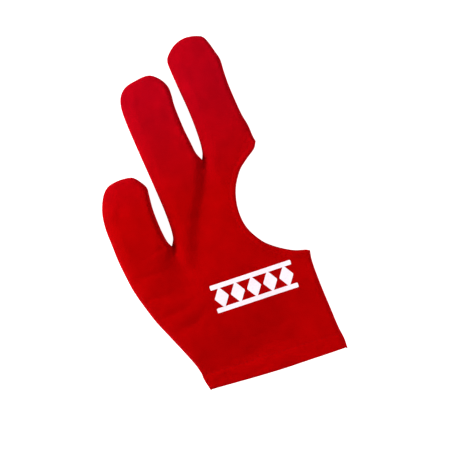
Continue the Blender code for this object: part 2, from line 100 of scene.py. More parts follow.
# Opening, from its upper corner down. Shares: height between its corners, depth of OPENING_DEPTH
OPENING_EDGE = (
    (0.950, 0.089), (0.884, 0.336), (0.809, 0.579), (0.665, 0.843), (0.495, 0.989), (0.339, 0.993),
    (0.199, 0.838), (0.126, 0.661), (0.067, 0.443), (0.032, 0.261), (0.014, 0.070),
)
# Finger outlines, up the left side, over the tip and down the right side. The index and the
# middle finger start where they part from the finger before, and the middle finger ends where
# the opening starts. Shares: along the length from the root, across the width from its middle
THUMB_OUTLINE = (
    (0.000, -0.491), (0.200, -0.506), (0.430, -0.523), (0.620, -0.500), (0.780, -0.427),
    (0.894, -0.333), (0.962, -0.215), (0.990, -0.040), (0.990, 0.150), (0.965, 0.281),
    (0.870, 0.402), (0.780, 0.470), (0.683, 0.464), (0.487, 0.448), (0.290, 0.460),
    (0.159, 0.479), (0.030, 0.514),
)
INDEX_OUTLINE = (
    (-0.740, -0.598), (-0.660, -0.515), (-0.453, -0.475), (-0.193, -0.474), (0.067, -0.488),
    (0.327, -0.500), (0.638, -0.505), (0.793, -0.479), (0.890, -0.406), (0.957, -0.260),
    (0.984, 0.000), (0.986, 0.190), (0.963, 0.299), (0.888, 0.429), (0.793, 0.504),
    (0.700, 0.504), (0.586, 0.477), (0.327, 0.474), (0.172, 0.494), (0.050, 0.512),
)
MIDDLE_OUTLINE = (
    (-0.014, -0.588), (0.034, -0.537), (0.114, -0.506), (0.241, -0.492), (0.411, -0.499),
    (0.622, -0.533), (0.800, -0.560), (0.875, -0.545), (0.938, -0.418), (0.982, -0.245),
    (0.996, -0.050), (0.981, 0.151), (0.950, 0.292), (0.896, 0.354), (0.800, 0.417),
    (0.722, 0.460), (0.622, 0.447), (0.500, 0.440), (0.351, 0.455), (0.224, 0.478),
    (0.120, 0.521), (0.015, 0.535), (-0.028, 0.553),
)

# Cloth
WALL = 0.95 * MM
HEM_WALL = 1.80 * MM
THINNEST = 0.04 * MM  # of a hem, on its folded edge
HEM_THICKENS = 4.0 * MM  # distance from a seam where a hem has its full thickness
HEM_RISE = 0.45 * MM  # the doubled cloth stands this much over the single cloth
HEM_STEP = 1.8 * MM  # width of the step between them
WRIST_HEM_DEPTH = 10.0 * MM
OPENING_HEM_DEPTH = 3.5 * MM
BACK_ROUND = 8.5 * MM  # how far in from the seam the back stays rounded, on the near side
FAR_ROUND = 5.4 * MM  # the same on the far side
PALM_ROUND = 5.2 * MM
MOUTH_REACH = 22.0 * MM  # distance in from a mouth where the back has its full height
MOUTH_DROP = 0.5 * MM  # how much lower the back lies at a mouth
ROLLED_TO = (0.954, -0.301)  # the back lies rolled a little this way, over its seams
EDGE_POWER = (1.6, 4.0)  # of the edge's curve on the near and the far side: 2 is an ellipse
ALLOWANCE = (2.0 * MM, 1.9 * MM)  # ridge over the seam's turnings: how far in, and its reach
ALLOWANCE_RISE = (0.10 * MM, 0.60 * MM)  # its height on the near and the far side
ALLOWANCE_DRIFT = (5.5 * MM, 0.9, 31.0)
SEAM_ROLL = 0.85 * MM  # radius of the cloth's turn into a side seam
SEAM_PRESS = 0.08 * MM  # how far each of the two turns is pressed past the seam
SEAM_TILT = (-0.8 * MM, 1.7 * MM)  # how much higher the seam lies on the near and the far side

# Small relief of the cloth: size of its waves, height, and a seed for the noise
SEAM_DRIFT = (26.0 * MM, 0.9 * MM, 17.9)
LOFT = (42.0 * MM, 0.75 * MM, 8.4)
SLACK = (17.0 * MM, 0.60 * MM, 3.7)
CRUMPLE = (6.0 * MM, 0.28 * MM, 11.3)
PALM_SLACK = (14.0 * MM, 0.30 * MM, 21.9)
PUCKER_DRIFT = (11.0 * MM, 0.9, 5.1)
PUCKER_LENGTH = 3.4 * MM  # along a side seam
PUCKER_REACH = 2.6 * MM
PUCKER_PLACE = PUCKER_REACH * 0.6  # how far in from the seam they are highest
PUCKER_HEIGHT = 0.20 * MM
STITCH_PITCH = 2.9 * MM
STITCH_LENGTH = 2.1 * MM
STITCH_DRIFT = ((0.35, 9.1 * MM), (0.25, 3.7 * MM))  # unevenness, in stitches, and its lengths
STITCH_GROOVE = 0.30 * MM
STITCH_GROOVE_REACH = 0.85 * MM
STITCH_PUCKER = 0.14 * MM
STITCH_PUCKER_REACH = 2.6 * MM
THREAD_RADIUS = 0.17 * MM
THREAD_RISE = 1.5  # thread radii from a stitch's ends to its middle
THREAD_SUNK = 0.9  # thread radii that its ends lie under the cloth's face

# Folds in the back, each along a line. Rows in mm: x, y, reach to the line's left and right,
# depth. A ridge has a depth below zero.
FOLDS = {
    "between the fingers": (
        (-27, 66, 4.5, 8, 0), (-25.3, 75, 5, 9, 1.8), (-23.6, 81.2, 5.4, 10, 2.7),
        (-21.1, 90.4, 5.2, 11, 2.8), (-17.9, 99.4, 4.9, 11, 2.9), (-14.9, 106.5, 4.3, 11, 3),
        (-11.8, 112.3, 3.8, 10, 3.1), (-9.2, 119.9, 3.2, 7, 3.2), (-5.6, 131, 2.6, 3.4, 3.4),
    ),
    "under the thumb": (
        (-35.5, 56, 9, 5, 0), (-36, 64, 10, 5, 2), (-37, 70, 10, 4.5, 2.9), (-38, 76, 8, 3.5, 2.9),
        (-38, 81.5, 4.6, 2.6, 2.6), (-37.8, 88, 2.4, 2.2, 2.8),
    ),
    "thumb root": ((-59, 85, 1.8, 1.8, 0.2), (-51, 87, 1.8, 1.8, 0.6), (-44, 89.2, 1.6, 1.6, 0.8)),
    "below the thumb root": ((-63, 76, 2, 2, 0.5), (-52, 75.5, 2.2, 2.2, 0.8)),
    "upper pull": ((-61, 62.5, 2.4, 2.4, 0.5), (-53, 61.5, 2.6, 2.6, 0.9), (-45, 61.5, 2.8, 2.8, 0.4)),
    "middle pull": (
        (-58, 48.4, 2.2, 2.2, 0.5), (-50, 50.2, 2.5, 2.5, 0.9), (-43, 50.7, 2.5, 2.5, 0.9),
        (-35, 53.5, 2.5, 2.5, 0.2),
    ),
    "lower pull": (
        (-50, 39.8, 2.4, 2.4, 0.3), (-42.5, 40, 3, 2.6, 1.1), (-37, 41.5, 3, 2.6, 0.9),
        (-31, 46.5, 2.5, 2.5, 0.3),
    ),
    "beside the print": ((-22.5, 73, 6, 6, 0), (-24.5, 65, 6, 6, -0.3), (-27.5, 55, 6, 6, -0.2)),
    "wrist hollow": (
        (-33, 13, 12, 5, 1.8), (-12, 14.5, 15.5, 5.5, 2.9), (8, 15.5, 15.5, 5.5, 2.8),
        (26, 18, 12, 6, 0.3),
    ),
    "palm hollow": (
        (15, 4, 22, 10, 0.3), (17, 14, 26, 10, 1.9), (17, 26, 26, 10, 2.4), (15, 38, 22, 11, 1),
        (13, 50, 18, 12, 0),
    ),
    "hem left": ((-42, -6, 18, 18, 3), (-16, -6, 18, 18, 2.4), (4, -6, 14, 14, 0)),
    "hem dent a": ((-9.5, 3.6, 2.2, 2.2, 0.5), (-5.5, 4.8, 2, 2, 0.4)),
    "hem dent b": ((17.5, 5.6, 1.8, 1.8, 0.5), (20.5, 6.4, 1.8, 1.8, 0.4)),
    "hem dent c": ((26.5, 3.8, 1.8, 1.8, 0.45), (28.5, 4.6, 1.8, 1.8, 0.45)),
    "hem dent d": ((-36, 4.8, 1.8, 1.8, 0.5), (-31, 5.6, 1.8, 1.8, 0.5)),
    "thumb tip": ((-65, 135, 13, 13, 1.3), (-50, 136, 13, 13, 1.3)),
    "index tip": ((-36, 189, 13, 13, 1.3), (-22, 190, 13, 13, 1.3)),
    "middle tip": ((0, 204, 13, 13, 1.3), (14, 205, 13, 13, 1.3)),
    "thumb roll": (
        (-52, 79, 14, 5, -0.7), (-48, 89, 17, 5, -1.9), (-46.5, 98, 19, 6, -2.3),
        (-46, 116, 20, 6, -1.8), (-49, 130, 18, 8, -1),
    ),
    "middle roll": ((15, 122, 12, 5, -0.3), (19, 137, 14, 5, -0.9), (18.5, 152, 12, 5, -0.2)),
    "middle crest": ((-1, 156, 5, 12, -0.2), (-3.5, 168, 5, 14, -0.9), (-5, 182, 5, 14, -0.7)),
    "middle tip roll": ((17.5, 182, 13, 5, -0.3), (15.5, 196, 14, 6, -0.9)),
    "right side": (
        (38, 1, 13, 5, -1.9), (36.5, 24, 13, 5, -1.3), (35, 46, 14, 5, -2), (36, 58, 12, 5, -0.9),
    ),
    "palm crown": ((8, 76, 12, 10, -0.2), (5, 90, 12, 10, -0.8), (3, 104, 9, 8, -0.2)),
    "opening corner": ((28.5, 132, 5, 5, -3), (23.5, 126.5, 4.6, 4.6, -2.2), (17.5, 118, 4, 4, 0)),
}

# The back's edges lie a little inside the palm's: how far, and how far in this reaches
SEAM_SHY = (0.22 * MM, 3.0 * MM)
MOUTH_SHY = ((0.50 * MM, 3.2 * MM), (0.9 * MM, 8.0 * MM))  # at the opening, at the wrist

# Fine mesh
EDGE_STEP = 1.1 * MM  # of the outline and the lines inside it
FIELD_STEP = 1.0 * MM
RING_ANGLES = np.radians((11, 20, 29, 38, 47, 56, 65, 74, 82, 90)).tolist()
LIP_ANGLES = np.radians((18, 36, 54, 72, 90)).tolist()
RIM_LINES = (0.06 * MM, 0.25 * MM, 0.55 * MM, 0.90 * MM)
FAN_ANGLE = math.radians(20.0)
RING_TRIM = 0.97  # a ring point this much nearer the seam than its ring is dropped
RING_SPREAD = 0.9  # spacing of a ring's points, as a share of the ring's distance
RING_SPACING = (EDGE_STEP * 0.5, EDGE_STEP * 0.8)  # least and most
LINE_CLEARANCE = 0.30 * MM
FIELD_CLEARANCE = 0.45 * MM
HEM_CORNER = 1.5  # hem depths from a mouth's end where its inner line is bent
HEM_OVERRUN = 5.0  # hem depths that this line runs on past its bent stretch
BEZIER_REACH = 1.0 / 3.0
ON_SEAM = 0.005 * MM
MERGE = ON_SEAM * 0.1  # points nearer than this are one
CHUNK = 2000  # points handled at a time
UNROLL_STEPS = 40
THREAD_SIDES = 8
STITCH_POINTS = 9
SHARP_ANGLE = math.radians(50.0)
SKIN_LAYERS = ("wall_step", "weave", "inward")

# Printed ornament on the back, over the wrist
PRINT_X = 0.5 * MM
PRINT_Y = 51.3 * MM
PRINT_TILT = math.radians(0.8)
PRINT_WIDTH = 50.0 * MM
PRINT_HEIGHT = 16.8 * MM
PRINT_RULE = 2.8 * MM
PRINT_CORNER = 0.7 * MM
PRINT_LIFT = 0.04 * MM
PRINT_LAYER = 0.10 * MM
PRINT_STEP = 0.8 * MM
PRINT_CLEARANCE = PRINT_STEP * 0.35
CORNER_PULL = 0.6  # how strongly a rounded corner is drawn to its tip
CORNER_POINTS = 6
LOZENGE_COUNT = 5
LOZENGE_WIDTH = 8.8 * MM
LOZENGE_ROOT = 0.9 * MM

# Knit: one loop's size in millimetres, its relief and what makes up its tone, painted shade between
# the loops included
WALE_WIDTH = 0.80
COURSE_HEIGHT = 0.62
LOOP_SLANT = 0.85
LOOP_DRIFT = (0.35, 0.9)  # noise per millimetre, and millimetres
WALE_SOFTNESS = 0.45
LEG_SOFTNESS = 0.6
KNIT_DEPTH = 0.20 * MM
LOOP_SHADE_SHARE = 0.42  # painted shade: share of the loops' height in the tone, darker between the loops
PATCHES = (0.09, 3.0, 0.50)  # uneven dye: noise per millimetre, its detail, share in the tone
FIBRES = (2.6, 4.0, 0.30)
FIBRE_HEIGHT = 0.5  # of a loop's height
TONE_RANGE = (0.28, 0.88)  # tones that get the dark and the light colour
PAINTED_SHEEN_TINT = (0.0, 0.0002, 0.0062, 1.0)  # painted sheen: a cool tint of reflected white light, added to the red towards the fingertips
PAINTED_SHEEN_FROM = (110.0, 65.0)  # millimetres from the wrist where it starts, and to its full share

# Colours, each from dark to light, and the plain values of each material
KNIT_RED = ((0.330, 0.0, 0.0001), (0.548, 0.0001, 0.0008))
HEM_RED = ((0.340, 0.0, 0.0001), (0.580, 0.0001, 0.0008))
INK_WHITE = ((0.84, 0.64, 0.72), (0.97, 0.86, 0.92))
KNIT_SURFACE = {
    "Roughness": 0.9, "Specular IOR Level": 0.01,
    "Sheen Weight": 0.90, "Sheen Roughness": 0.30, "Sheen Tint": (1.0, 0.004, 0.012, 1.0),
}
THREAD_SURFACE = {
    "Base Color": (0.430, 0.0004, 0.0016, 1.0), "Roughness": 0.7, "Specular IOR Level": 0.04,
}
INK_SURFACE = {"Roughness": 0.5, "Specular IOR Level": 0.3}
FLOOR_SURFACE = {
    "Base Color": (0.60, 0.60, 0.60, 1.0), "Roughness": 0.9, "Specular IOR Level": 0.0,
    "Emission Color": (1.0, 1.0, 1.0, 1.0), "Emission Strength": 0.95,
}
THREAD_TWIST = 900.0  # scale of the bands of its plies
THREAD_BUMPS = (0.6, 0.05 * MM)  # strength and depth
INK_BUMPS = (0.4, 0.08 * MM)
INK_COVER = (0.9, 4.0)  # noise per millimetre, and its detail
INK_TONE = (0.3, 0.7)  # shares of the loops and of the cover
INK_RANGE = (0.18, 0.50)

# Lights, as place, size and power, and the greys of the room from below to above
KEY_LIGHT = ((-0.46, 0.32, 0.30), 0.24, 5.4)
FILL_LIGHT = ((0.31, -0.25, 0.20), 0.20, 0.66)
ROOM_GREYS = ((0.49, 1.4), (0.51, 1.0), (0.84, 0.33))

# Camera and floor
PHOTO_SPAN = 266.4 * MM  # width of the picture at the glove
PHOTO_CENTRE = (10.5 * MM, -10.5 * MM)
PHOTO_TURN = math.radians(-17.5)
CAMERA_LENS = 100.0
CAMERA_SENSOR = 36.0
FLOOR_SIZE = 6.0


def finger_points(finger, rows):
    """Rows of shares, along and across a leaning finger, as plan points."""
    root, lean, length, width = finger
    lean = math.radians(lean)
    along = Vector((math.sin(lean), math.cos(lean)))
    across = Vector((along.y, -along.x))
    return [Vector(root) + along * row[0] * length + across * row[1] * width for row in rows]


def smooth_run(points):
    """A smooth curve through the points, cut into pieces no longer than EDGE_STEP."""
    run = []
    last = len(points) - 1
    for i in range(last):
        start, end = points[i], points[i + 1]
        leave = (end - points[max(i - 1, 0)]).normalized()
        arrive = (points[min(i + 2, last)] - start).normalized()
        reach = (end - start).length * BEZIER_REACH
        count = max(1, math.ceil((end - start).length / EDGE_STEP))
        piece = interpolate_bezier(start, start + leave * reach, end - arrive * reach, end, count + 1)
        run.extend(piece[:-1])
    run.append(points[-1])
    return np.array([(point[0], point[1]) for point in run])


def straight_run(start, end, step=EDGE_STEP):
    count = max(1, math.ceil((end - start).length / step))
    return np.array([tuple(start.lerp(end, i / count)) for i in range(count + 1)])


def outline_runs():
    """The outline, clockwise from the thumb-side corner of the wrist, as named runs."""
    left_corner = Vector((-WRIST_WIDTH / 2.0, 0.0))
    right_corner = Vector((WRIST_WIDTH / 2.0, 0.0))
    wrist_middle = Vector((0.0, -WRIST_BOW))
    heel_corner = Vector((HEEL_REACH, HEEL_HEIGHT))
    thumb_side = [
        left_corner + Vector((-THUMB_BULGE * out, THUMB_Y * up)) for up, out in THUMB_SIDE
    ]
    thumb = finger_points(THUMB, THUMB_OUTLINE)
    index = finger_points(INDEX, INDEX_OUTLINE)
    middle = finger_points(MIDDLE, MIDDLE_OUTLINE)
    opening = [
        heel_corner.lerp(middle[-1], up) - Vector((OPENING_DEPTH * depth, 0.0))
        for up, depth in OPENING_EDGE
    ]
    heel_side = [
        Vector((WRIST_WIDTH / 2.0 * out, HEEL_HEIGHT * up)) for up, out in reversed(HEEL_SIDE)
    ]
    outer = [
        smooth_run([left_corner, *thumb_side, *thumb, index[0]]),
        smooth_run([*index, middle[0]]),
        smooth_run(middle),
    ]
    return {
        "outer_seam": np.concatenate([outer[0][:-1], outer[1][:-1], outer[2]]),
        "opening": smooth_run([middle[-1], *opening, heel_corner]),
        "heel_seam": smooth_run([heel_corner, *heel_side, right_corner]),
        "wrist": smooth_run([right_corner, wrist_middle, left_corner]),
    }


def piece_distances(points, run):
    """Distance from each point to each straight piece of a run, and the nearest places."""
    starts = run[:-1]
    sides = run[1:] - starts
    offsets = points[:, None, :] - starts[None, :, :]
    shares = (offsets * sides).sum(axis=2) / (sides * sides).sum(axis=1)
    places = starts + sides * np.clip(shares, 0.0, 1.0)[:, :, None]
    return np.linalg.norm(points[:, None, :] - places, axis=2), places


def nearest_on_run(points, run):
    """Distance to a run, the nearest place, its piece, and how far along the run it is."""
    gaps, places, pieces = [], [], []
    for first in range(0, len(points), CHUNK):
        part = points[first:first + CHUNK]
        part_gaps, part_places = piece_distances(part, run)
        best = part_gaps.argmin(axis=1)
        rows = np.arange(len(part))
        gaps.append(part_gaps[rows, best])
        places.append(part_places[rows, best])
        pieces.append(best)
    gaps, places, pieces = np.concatenate(gaps), np.concatenate(places), np.concatenate(pieces)
    lengths = np.linalg.norm(np.diff(run, axis=0), axis=1)
    starts = np.concatenate([[0.0], np.cumsum(lengths)[:-1]])
    along = starts[pieces] + np.linalg.norm(places - run[pieces], axis=1)
    return gaps, places, pieces, along


def distance_to(points, runs):
    return np.min([nearest_on_run(points, run)[0] for run in runs], axis=0)


def inside_loop(points, loop):
    """Even-odd test of each point against a closed loop."""
    ends = np.roll(loop, -1, axis=0)
    rise = np.where(ends[:, 1] == loop[:, 1], 1.0, ends[:, 1] - loop[:, 1])
    found = []
    for first in range(0, len(points), CHUNK):
        x = points[first:first + CHUNK, 0][:, None]
        y = points[first:first + CHUNK, 1][:, None]
        crosses = (loop[:, 1] > y) != (ends[:, 1] > y)
        at = loop[:, 0] + (y - loop[:, 1]) * (ends[:, 0] - loop[:, 0]) / rise
        found.append((crosses & (x < at)).sum(axis=1) % 2 == 1)
    return np.concatenate(found)


def inward_normals(run):
    """Unit normals of a clockwise run's pieces, pointing into the cloth."""
    sides = np.diff(run, axis=0)
    normals = np.column_stack([sides[:, 1], -sides[:, 0]])
    return normals / np.linalg.norm(normals, axis=1)[:, None]


def unit(vector):
    return vector / np.linalg.norm(vector)


def inner_line(run, distance):
    """A line inside a mouth's edge, carried on straight at both ends to cross the seams."""
    normals = inward_normals(run)
    bends = (normals[:-1] + normals[1:]) / 2.0
    bends /= np.linalg.norm(bends, axis=1)[:, None]
    inner = run[1:-1] + bends * distance
    ends = np.minimum(
        np.linalg.norm(run[1:-1] - run[0], axis=1), np.linalg.norm(run[1:-1] - run[-1], axis=1)
    )
    inner = inner[ends > distance * HEM_CORNER]
    far = distance * HEM_OVERRUN + EDGE_STEP
    before = inner[0] + unit(inner[0] - inner[1]) * far
    after = inner[-1] + unit(inner[-1] - inner[-2]) * far
    lead = straight_run(Vector(before), Vector(inner[0]))
    tail = straight_run(Vector(inner[-1]), Vector(after))
    return np.concatenate([lead[:-1], inner, tail[1:]])


def wrist_line(height):
    half = WRIST_WIDTH / 2.0 + THUMB_BULGE
    return straight_run(Vector((half, height)), Vector((-half, height)))


def cloth_side(points, line):
    """True where a point is on the cloth's side of a line that runs clockwise."""
    _, places, pieces, _ = nearest_on_run(points, line)
    normals = inward_normals(line)[pieces]
    return ((points - places) * normals).sum(axis=1) > 0.0


def spread_out(points, spacing):
    """The points without those that crowd an earlier one, found through a grid of cells."""
    cells = {}
    kept = []
    for point in points:
        column, row = int(point[0] // spacing), int(point[1] // spacing)
        near = []
        for i in (-1, 0, 1):
            for j in (-1, 0, 1):
                near.extend(cells.get((column + i, row + j), []))
        if all(math.hypot(point[0] - other[0], point[1] - other[1]) >= spacing for other in near):
            cells.setdefault((column, row), []).append(point)
            kept.append(point)
    return np.array(kept)


def ring_points(seams):
    """Points at the rounded edge's ring distances, with a fan round each inner corner."""
    rings = []
    for angle in RING_ANGLES:
        distance = BACK_ROUND * (1.0 - math.cos(angle))
        ring = []
        for run in seams:
            normals = inward_normals(run)
            for i in range(1, len(run) - 1):
                before, after = Vector(normals[i - 1]), Vector(normals[i])
                count = max(1, math.ceil(abs(before.angle_signed(after)) / FAN_ANGLE))
                for k in range(count):
                    direction = before.lerp(after, (k + 0.5) / count).normalized()
                    ring.append(run[i] + np.array(direction) * distance)
        ring = np.array(ring)
        ring = ring[distance_to(ring, seams) > distance * RING_TRIM]
        rings.append(spread_out(ring, float(np.clip(distance * RING_SPREAD, *RING_SPACING))))
    return np.concatenate(rings)


def field_points(loop, step):
    """A triangular field of points over the whole of a loop."""
    low, high = loop.min(axis=0), loop.max(axis=0)
    row_step = step * math.sqrt(3.0) / 2.0
    rows = int((high[1] - low[1]) / row_step) + 1
    columns = int((high[0] - low[0]) / step) + 1
    row, column = np.mgrid[0:rows, 0:columns]
    x = low[0] + (column + 0.5 * (row % 2)) * step
    y = low[1] + row * row_step
    return np.column_stack([x.ravel(), y.ravel()])


def twice_areas(plan, faces):
    a, b, c = plan[faces[:, 0]], plan[faces[:, 1]], plan[faces[:, 2]]
    return (b[:, 0] - a[:, 0]) * (c[:, 1] - a[:, 1]) - (b[:, 1] - a[:, 1]) * (c[:, 0] - a[:, 0])


def triangulate(points, runs):
    """Upright triangles over points and runs, as plan points and corner numbers."""
    corners = [Vector(point) for point in points]
    edges = []
    for run in runs:
        first = len(corners)
        corners.extend(Vector(point) for point in run)
        edges.extend((first + i, first + i + 1) for i in range(len(run) - 1))
    plan, _, faces, _, _, _ = delaunay_2d_cdt(corners, edges, [], 0, MERGE)
    plan = np.array([tuple(point) for point in plan])
    faces = np.array(faces)
    turned = twice_areas(plan, faces) < 0.0
    faces[turned] = faces[turned][:, ::-1]
    return plan, faces


def smoothstep(value):
    share = np.clip(value, 0.0, 1.0)
    return share * share * (3.0 - 2.0 * share)


def bump(distance, reach):
    return np.exp(-((distance / reach) ** 2))


def by_side(pair, inward):
    """A mix of the near and the far side's value, by the way into the cloth from its seam."""
    far_side = (1.0 - inward @ np.array(ROLLED_TO)) / 2.0
    return pair[0] + (pair[1] - pair[0]) * far_side


def waves(points, relief):
    """Smooth noise over the plan, with the size, height and seed given."""
    size, height, seed = relief
    return height * np.array([noise.noise(Vector((x / size, y / size, seed))) for x, y in points])


def fold_relief(points, rows):
    """The smooth trough of one of FOLDS, steeper on the side where its reach is shorter."""
    rows = np.array(rows) * MM
    line = rows[:, :2]
    gaps, places, pieces, _ = nearest_on_run(points, line)
    sides = np.diff(line, axis=0)
    lengths = np.linalg.norm(sides, axis=1)
    share = np.linalg.norm(places - line[pieces], axis=1) / lengths[pieces]
    here = rows[pieces] * (1.0 - share)[:, None] + rows[pieces + 1] * share[:, None]
    left, right, depth = here[:, 2], here[:, 3], here[:, 4]
    way = (sides / lengths[:, None])[pieces]
    offset = points - places
    leftwards = (way[:, 0] * offset[:, 1] - way[:, 1] * offset[:, 0]) / np.maximum(gaps, ON_SEAM)
    reach = left * (1.0 + leftwards) / 2.0 + right * (1.0 - leftwards) / 2.0
    return depth * bump(gaps, reach)


class Glove:
    """The outline, and the heights of the cloth over it."""

    def __init__(self):
        self.runs = outline_runs()
        self.loop = np.concatenate([run[:-1] for run in self.runs.values()])
        self.seams = [self.runs["outer_seam"], self.runs["heel_seam"]]
        self.mouths = [self.runs["opening"], self.runs["wrist"]]
        self.middle = (self.loop.min(axis=0) + self.loop.max(axis=0)) / 2.0
        self.wrist_stitching = wrist_line(WRIST_HEM_DEPTH)
        self.opening_stitching = inner_line(self.runs["opening"], OPENING_HEM_DEPTH)
        self.seam = (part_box("back_panel")[0][2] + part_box("palm_panel")[1][2]) / 2.0
        self.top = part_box("back_panel")[1][2]

    def survey(self, points, runs):
        """Distance to the nearest run, the way into the cloth from it, and the place along it."""
        away = np.full(len(points), np.inf)
        along = np.zeros(len(points))
        inward = np.zeros((len(points), 2))
        for run in runs:
            gaps, places, _, place_along = nearest_on_run(points, run)
            closer = gaps < away
            away[closer] = gaps[closer]
            along[closer] = place_along[closer]
            inward[closer] = (points - places)[closer]
        on_edge = away < ON_SEAM
        inward[on_edge] = 0.0
        for run in runs:
            touching = piece_distances(points[on_edge], run)[0] < ON_SEAM
            inward[on_edge] += touching @ inward_normals(run)
        inward /= np.linalg.norm(inward, axis=1)[:, None]
        return away, inward, along

    def back_plan(self, points):
        """Plan points of the back, drawn in a little from the palm's outline."""
        drawn = points.copy()
        rules = [(self.seams, SEAM_SHY)]
        rules.extend(([run], rule) for run, rule in zip(self.mouths, MOUTH_SHY))
        for runs, (most, reach) in rules:
            away, inward, _ = self.survey(points, runs)
            drawn += inward * (most * (1.0 - smoothstep(away / reach)))[:, None]
        return drawn

    def hem_relief(self, points):
        """How far the hems lift the cloth, less the groove and puckers of their stitching."""
        relief = HEM_RISE * smoothstep((WRIST_HEM_DEPTH - points[:, 1]) / HEM_STEP + 0.5)
        opening_away = nearest_on_run(points, self.runs["opening"])[0]
        relief += HEM_RISE * smoothstep((OPENING_HEM_DEPTH - opening_away) / HEM_STEP + 0.5)
        wrist_gap = np.abs(points[:, 1] - WRIST_HEM_DEPTH)
        opening_gap, _, _, opening_along = nearest_on_run(points, self.opening_stitching)
        for gap, along in ((wrist_gap, points[:, 0]), (opening_gap, opening_along)):
            relief -= STITCH_GROOVE * bump(gap, STITCH_GROOVE_REACH)
            drift = sum(share * np.sin(along / length) for share, length in STITCH_DRIFT)
            pull = np.cos((along / STITCH_PITCH + drift) * 2.0 * math.pi)
            relief += STITCH_PUCKER * pull * bump(gap, STITCH_PUCKER_REACH)
        return relief

    def rim_share(self, points):
        """Share of a hem's thickness near its folded edge: 0 on the edge, 1 inwards."""
        share = np.clip(distance_to(points, self.mouths) / (HEM_WALL / 2.0), 0.0, 1.0)
        return np.sqrt(1.0 - (1.0 - share) ** 2)

    def pucker(self, points, away, along):
        """Small pulls of the side seam's stitches on the cloth beside it."""
        pull = np.sin((along / PUCKER_LENGTH + waves(points, PUCKER_DRIFT)) * 2.0 * math.pi)
        return PUCKER_HEIGHT * pull * bump(away - PUCKER_PLACE, PUCKER_REACH)

    def seam_height(self, points, inward):
        return self.seam + by_side(SEAM_TILT, inward) + waves(points, SEAM_DRIFT)

    def back_height(self, points, is_hem=False):
        away, inward, along = self.survey(points, self.seams)
        low = self.seam_height(points, inward) - SEAM_PRESS + SEAM_ROLL
        mouth = smoothstep(distance_to(points, self.mouths) / MOUTH_REACH)
        top = self.top - MOUTH_DROP * (1.0 - mouth)
        share = np.clip(away / by_side((BACK_ROUND, FAR_ROUND), inward), 0.0, 1.0)
        power = by_side(EDGE_POWER, inward)
        rise = (1.0 - (1.0 - share) ** power) ** (1.0 / power)
        dents = np.sum([fold_relief(points, rows) for rows in FOLDS.values()], axis=0)
        slack = waves(points, LOFT) + waves(points, SLACK) + waves(points, CRUMPLE)
        height = low + (top - dents + slack + self.hem_relief(points) - low) * rise
        place, reach = ALLOWANCE
        size = by_side(ALLOWANCE_RISE, inward) * (1.0 + waves(points, ALLOWANCE_DRIFT))
        ridge = size * bump(away - place, reach)
        height += (ridge + self.pucker(points, away, along)) * smoothstep(away / SEAM_ROLL)
        if is_hem:
            height -= HEM_WALL / 2.0 * (1.0 - self.rim_share(points))
        return height

    def palm_height(self, points, is_hem=False):
        away, inward, _ = self.survey(points, self.seams)
        high = self.seam_height(points, inward) + SEAM_PRESS - SEAM_ROLL
        share = np.clip(away / PALM_ROUND, 0.0, 1.0)
        rise = np.sqrt(1.0 - (1.0 - share) ** 2)
        lift = np.maximum(waves(points, PALM_SLACK), 0.0)
        lift += np.maximum(-self.hem_relief(points), 0.0)
        height = high * (1.0 - rise) + lift * smoothstep(share)
        if is_hem:
            height += HEM_WALL / 2.0 * (1.0 - self.rim_share(points))
        return height

    def wall_steps(self, points, reach, up, is_hem):
        """The way from the outer to the inner skin, square to the rounded edge's section."""
        away, inward, _ = self.survey(points, self.seams)
        flat = np.clip(away / reach, 0.0, 1.0)
        thick = np.full(len(points), WALL)
        if is_hem:
            thick += (HEM_WALL - WALL) * smoothstep(away / HEM_THICKENS)
            thick = np.maximum(thick * self.rim_share(points), THINNEST)
        rise = up * np.sqrt(1.0 - (1.0 - flat) ** 2)
        return np.column_stack([inward * (1.0 - flat)[:, None], rise]) * thick[:, None]

    def unrolled(self, points, reach, height):
        """Plan points moved outwards by the extra length of the rounded edge, for the weave."""
        away, inward, _ = self.survey(points, self.seams)
        angles = np.linspace(0.0, math.pi / 2.0, UNROLL_STEPS)
        run = reach * (1.0 - np.cos(angles))
        rise = height * np.sin(angles)
        lengths = np.concatenate([[0.0], np.cumsum(np.hypot(np.diff(run), np.diff(rise)))])
        extra = (lengths[-1] - lengths) - (reach - run)
        return points - inward * np.interp(away, run, extra, right=0.0)[:, None]

    def cut_plan(self):
        """Triangles of the whole outline, sorted into the pieces they belong to."""
        lines = [self.wrist_stitching, self.opening_stitching]
        for run in self.mouths:
            lines.extend(inner_line(run, distance) for distance in RIM_LINES)
        rings = ring_points(self.seams)
        rings = rings[inside_loop(rings, self.loop)]
        rings = rings[distance_to(rings, self.mouths + lines) > LINE_CLEARANCE]
        field = field_points(self.loop, FIELD_STEP)
        field = field[inside_loop(field, self.loop)]
        field = field[distance_to(field, self.mouths + lines) > FIELD_CLEARANCE]
        field = field[distance_to(field, self.seams) > BACK_ROUND + FIELD_CLEARANCE]
        borders = [*self.seams, *self.mouths, *lines]
        plan, faces = triangulate(np.concatenate([rings, field]), borders)
        faces = faces[inside_loop(plan[faces].mean(axis=1), self.loop)]
        centres = plan[faces].mean(axis=1)
        past_wrist = cloth_side(centres, self.wrist_stitching)
        past_opening = cloth_side(centres, self.opening_stitching)
        return plan, {
            "panel": faces[past_wrist & past_opening],
            "wrist_hem": faces[~past_wrist],
            "opening_hem": faces[past_wrist & ~past_opening],
        }


def new_skin_mesh():
    mesh = bmesh.new()
    for name in SKIN_LAYERS:
        mesh.verts.layers.float_vector.new(name)
    return mesh


def skin_layers(mesh):
    """The vectors that each corner of a skin carries, in the order of SKIN_LAYERS."""
    return [mesh.verts.layers.float_vector[name] for name in SKIN_LAYERS]


def add_skin(mesh, points, faces):
    """A skin over the triangles, and its corners by plan number."""
    corners = {i: mesh.verts.new(points[i]) for i in np.unique(faces)}
    skin = [mesh.faces.new([corners[i] for i in face]) for face in faces]
    return skin, corners


